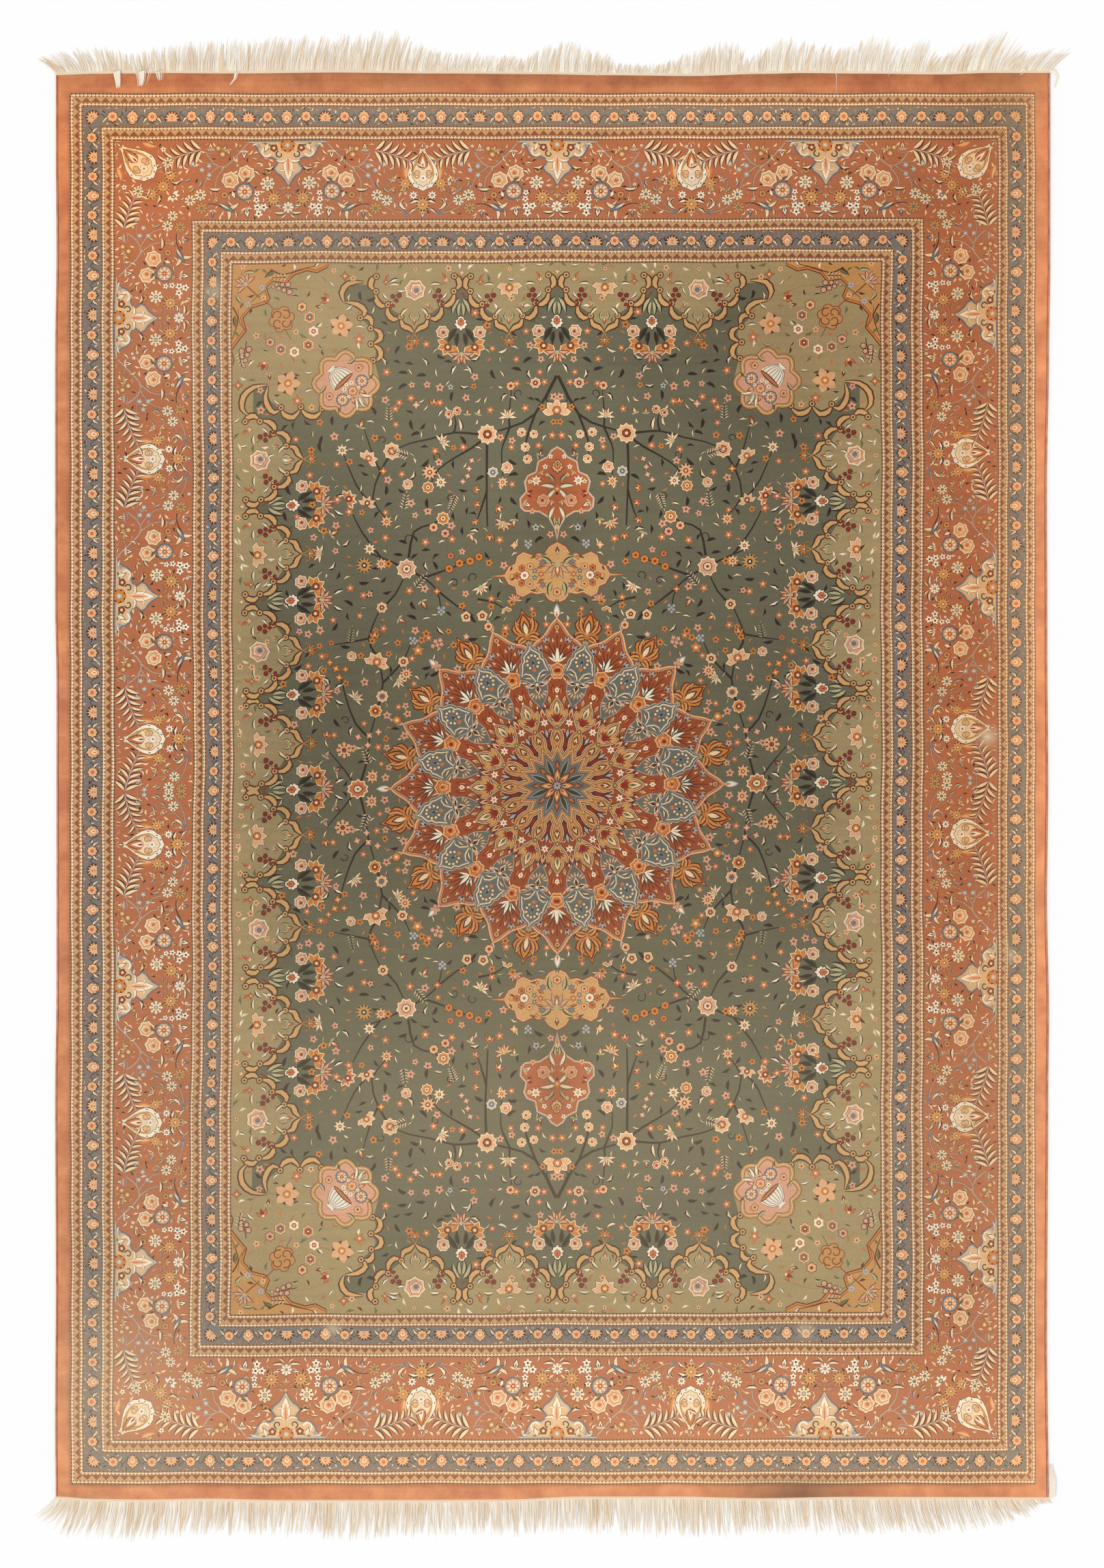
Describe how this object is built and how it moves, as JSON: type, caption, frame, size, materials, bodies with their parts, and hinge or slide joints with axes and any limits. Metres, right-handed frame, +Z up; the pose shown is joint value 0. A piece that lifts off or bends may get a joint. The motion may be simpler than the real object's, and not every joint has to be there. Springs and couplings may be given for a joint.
{
  "type": "persian rug",
  "caption": "Rectangular hand-knotted silk rug lying flat, with a central medallion, floral field and borders, whipped sides and cream fringe at both ends.",
  "frame": {"origin": "middle of the rug, on the surface that it lies on", "axes": "+X across the rug to its right-hand side, +Y along it to the end at the top of the design, +Z up out of the pile"},
  "size_m": [2.0515, 3.0321, 0.0092],
  "materials": {
    "silk_pile": "clipped silk pile, soft sheen",
    "whipped_silk": "close whipping over a cord, matte",
    "silk_warp": "loose undyed warp ends, matte"
  },
  "bodies": {
    "root": {"knotted_rug": "silk_pile", "side_cord_left": "whipped_silk", "side_cord_right": "whipped_silk", "fringe_top": "silk_warp", "fringe_bottom": "silk_warp"}
  },
  "joints": []
}
